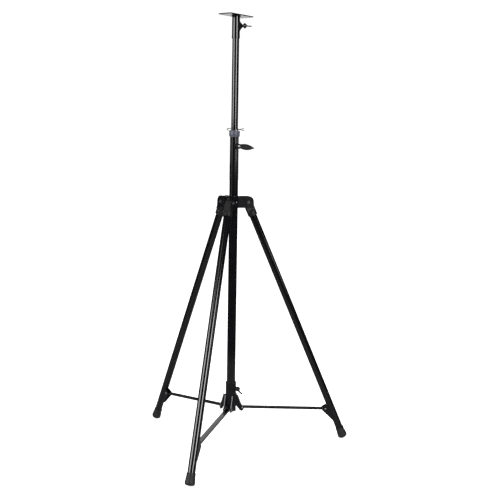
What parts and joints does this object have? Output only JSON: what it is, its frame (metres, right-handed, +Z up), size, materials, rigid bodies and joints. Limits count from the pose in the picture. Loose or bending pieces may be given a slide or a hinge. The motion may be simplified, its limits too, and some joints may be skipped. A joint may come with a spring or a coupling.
{
  "type": "speaker tripod stand",
  "caption": "Tall tripod stand for a loudspeaker: telescoping black steel column on folding tubular legs with lower struts, rubber boots, lever clamp and a flat top plate.",
  "frame": {"origin": "on the floor, at the middle of the whole stand's plan; the column's axis is 157 mm behind it, at y = 0.157", "axes": "+Z up along the column; leg a points along -Y, legs b and c 120 degrees either side of it; X is left to right seen from leg a"},
  "size_m": [1.1306, 0.986, 2.217],
  "materials": {
    "black_paint": "gloss black powder coat",
    "satin_black": "satin black powder coat",
    "black_plastic": "moulded black nylon",
    "grey_plastic": "moulded blue-grey plastic",
    "black_rubber": "moulded black rubber",
    "zinc_steel": "zinc plated",
    "spring_wire": "bright spring wire",
    "brass": "machined"
  },
  "bodies": {
    "column": {"column_tube": "black_paint", "column_collar": "grey_plastic", "collar_wire_clip": "spring_wire", "column_end_cap": "black_plastic", "clamp_boss": "satin_black", "clamp_pad": "brass", "upper_hub_sleeve": "satin_black", "hub_bracket_a": "satin_black", "hub_bracket_b": "satin_black", "hub_bracket_c": "satin_black", "hinge_bolt_a": "satin_black", "hinge_bolt_b": "satin_black", "hinge_bolt_c": "satin_black", "hinge_nut_a": "satin_black", "hinge_nut_b": "satin_black", "hinge_nut_c": "satin_black", "hub_rivet_1": "zinc_steel", "hub_rivet_2": "zinc_steel", "hub_rivet_3": "zinc_steel"},
    "clamp_lever": {"clamp_screw": "zinc_steel", "clamp_lever": "black_plastic"},
    "pole": {"inner_pole": "black_paint", "pole_bottom_bush": "black_plastic", "pole_top_plug": "black_plastic"},
    "adapter": {"adapter_sleeve": "black_paint", "adapter_plate": "black_paint", "adapter_boss": "satin_black"},
    "adapter_knob": {"adapter_screw": "zinc_steel", "adapter_knob": "black_plastic"},
    "lower_hub": {"lower_hub": "satin_black", "lower_hub_bush": "black_plastic", "lower_hub_boss": "satin_black", "hub_pivot_pin_a": "zinc_steel", "hub_pivot_pin_b": "zinc_steel", "hub_pivot_pin_c": "zinc_steel"},
    "lower_hub_knob": {"lower_hub_screw": "zinc_steel", "lower_hub_knob": "black_plastic"},
    "strut_a": {"strut_a": "black_paint"},
    "leg_a": {"leg_tube_a": "black_paint", "leg_knuckle_a": "black_plastic", "foot_a": "black_rubber", "leg_bracket_a": "satin_black", "strut_outer_pin_a": "zinc_steel"},
    "strut_b": {"strut_b": "black_paint"},
    "leg_b": {"leg_tube_b": "black_paint", "leg_knuckle_b": "black_plastic", "foot_b": "black_rubber", "leg_bracket_b": "satin_black", "strut_outer_pin_b": "zinc_steel"},
    "strut_c": {"strut_c": "black_paint"},
    "leg_c": {"leg_tube_c": "black_paint", "leg_knuckle_c": "black_plastic", "foot_c": "black_rubber", "leg_bracket_c": "satin_black", "strut_outer_pin_c": "zinc_steel"}
  },
  "joints": [
    {"name": "pole_slide", "type": "slide", "parent": "column", "child": "pole", "axis": [0, 0, 1], "range_m": [-0.43, 0.26]},
    {"name": "adapter_turn", "type": "hinge", "parent": "pole", "child": "adapter", "pos_m": [0, 0.157, 2.162], "axis": [0, 0, 1], "continuous": true},
    {"name": "adapter_knob_turn", "type": "hinge", "parent": "adapter", "child": "adapter_knob", "pos_m": [0.04432, 0.14919, 2.162], "axis": [0.9848, -0.1736, 0], "range_deg": [0, 270]},
    {"name": "clamp_lever_turn", "type": "hinge", "parent": "column", "child": "clamp_lever", "pos_m": [0.03152, 0.13237, 1.565], "axis": [0.788, -0.6157, 0], "range_deg": [0, 270]},
    {"name": "hub_slide", "type": "slide", "parent": "column", "child": "lower_hub", "axis": [0, 0, 1], "range_m": [0, 0.34219]},
    {"name": "hub_knob_turn", "type": "hinge", "parent": "lower_hub", "child": "lower_hub_knob", "pos_m": [0.03897, 0.1345, 0.311], "axis": [0.866, -0.5, 0], "range_deg": [0, 270]},
    {"name": "strut_fold_a", "type": "hinge", "parent": "lower_hub", "child": "strut_a", "pos_m": [0, 0.099, 0.203], "axis": [1, 0, 0], "range_deg": [0, 84.21]},
    {"name": "leg_fold_a", "type": "hinge", "parent": "strut_a", "child": "leg_a", "pos_m": [0, -0.36256, 0.16815], "axis": [1, 0, 0], "range_deg": [-62.19, 0]},
    {"name": "strut_fold_b", "type": "hinge", "parent": "lower_hub", "child": "strut_b", "pos_m": [0.05023, 0.186, 0.203], "axis": [-0.5, 0.866, 0], "range_deg": [0, 84.21]},
    {"name": "leg_fold_b", "type": "hinge", "parent": "strut_b", "child": "leg_b", "pos_m": [0.44995, 0.41678, 0.16815], "axis": [-0.5, 0.866, 0], "range_deg": [-62.19, 0]},
    {"name": "strut_fold_c", "type": "hinge", "parent": "lower_hub", "child": "strut_c", "pos_m": [-0.05023, 0.186, 0.203], "axis": [-0.5, -0.866, 0], "range_deg": [0, 84.21]},
    {"name": "leg_fold_c", "type": "hinge", "parent": "strut_c", "child": "leg_c", "pos_m": [-0.44995, 0.41678, 0.16815], "axis": [-0.5, -0.866, 0], "range_deg": [-62.19, 0]}
  ],
  "couplings": [
    {"joint": "strut_fold_a", "follows": "hub_slide", "rad_per_m": 4.2953},
    {"joint": "leg_fold_a", "follows": "hub_slide", "rad_per_m": -3.1722},
    {"joint": "strut_fold_b", "follows": "hub_slide", "rad_per_m": 4.2953},
    {"joint": "leg_fold_b", "follows": "hub_slide", "rad_per_m": -3.1722},
    {"joint": "strut_fold_c", "follows": "hub_slide", "rad_per_m": 4.2953},
    {"joint": "leg_fold_c", "follows": "hub_slide", "rad_per_m": -3.1722}
  ]
}
